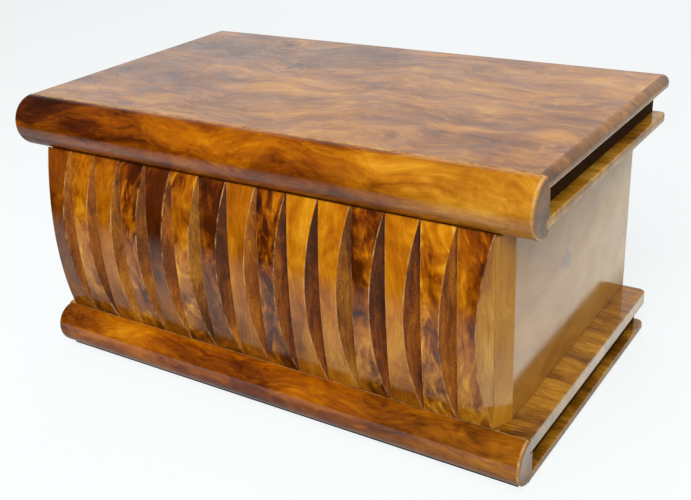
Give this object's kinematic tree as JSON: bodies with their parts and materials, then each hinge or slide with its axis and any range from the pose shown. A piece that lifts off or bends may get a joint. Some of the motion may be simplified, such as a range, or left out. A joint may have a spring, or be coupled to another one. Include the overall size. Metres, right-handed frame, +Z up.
{
  "type": "secret book box",
  "caption": "Burl wood box shaped as a row of small books between two large books, with a hinged lid, sliding books over a keyhole and a hidden key drawer.",
  "frame": {"origin": "middle of the box's bounding box, on the surface that it stands on", "axes": "+X along the row of books to the right seen from the front, -Y the front with the rounded spines, +Z up"},
  "size_m": [0.24, 0.1486, 0.1164],
  "materials": {
    "burl_cover": "polished burl, high gloss lacquer",
    "burl_spine": "polished burl, high gloss lacquer",
    "burl_panel": "polished burl, high gloss lacquer",
    "book_burl": "polished burl, high gloss lacquer",
    "page_wood": "dark stained, satin",
    "inner_wood": "planed, matt",
    "brass": "brushed",
    "steel": "brushed",
    "felt": "black felt"
  },
  "bodies": {
    "case": {"base_felt": "felt", "base_lower_cover": "burl_cover", "base_upper_cover": "burl_cover", "base_spine": "burl_spine", "base_pages_left": "page_wood", "base_pages_rear": "page_wood", "guide_rail": "inner_wood", "front_board": "burl_panel", "runner_way_upper": "burl_panel", "runner_way_lower": "burl_panel", "groove_stop": "burl_panel", "groove_filler": "burl_panel", "side_panel_left": "burl_panel", "side_panel_right": "burl_panel", "rear_panel": "burl_panel", "book_01": "book_burl", "book_02": "book_burl", "book_03": "book_burl", "book_04": "book_burl", "book_05": "book_burl", "book_06": "book_burl", "book_07": "book_burl", "keyhole_plate": "brass", "keyhole_brads": "brass", "lock_case": "steel", "lock_cap": "steel", "lock_cap_screws": "brass", "lock_screws": "brass", "key_post": "steel", "lock_spring": "steel", "hinge_leaves_body": "brass", "hinge_pins": "steel", "hinge_screws_body": "brass"},
    "lid": {"lid_upper_cover": "burl_cover", "lid_lower_cover": "burl_cover", "lid_spine": "burl_spine", "lid_pages_left": "page_wood", "lid_pages_right": "page_wood", "lid_pages_rear": "page_wood", "hinge_leaves_lid": "brass", "hinge_screws_lid": "brass", "strike_plate": "brass", "strike_screws": "brass"},
    "sliding_books": {"book_08": "book_burl", "book_09": "book_burl", "book_10": "book_burl", "book_11": "book_burl", "book_12": "book_burl", "book_13": "book_burl", "book_14": "book_burl", "book_15": "book_burl", "book_runner": "inner_wood"},
    "key_drawer": {"key_drawer": "page_wood", "key": "steel"},
    "lock_bolt": {"lock_bolt": "brass"}
  },
  "joints": [
    {"name": "lid_hinge", "type": "hinge", "parent": "case", "child": "lid", "pos_m": [0, 0.0682, 0.09685], "axis": [-1, 0, 0], "range_deg": [0, 100]},
    {"name": "books_slide", "type": "slide", "parent": "case", "child": "sliding_books", "axis": [1, 0, 0], "range_m": [0, 0.014]},
    {"name": "drawer_slide", "type": "slide", "parent": "case", "child": "key_drawer", "axis": [1, 0, 0], "range_m": [0, 0.048]},
    {"name": "bolt_slide", "type": "slide", "parent": "case", "child": "lock_bolt", "axis": [1, 0, 0], "range_m": [0, 0.006]}
  ]
}
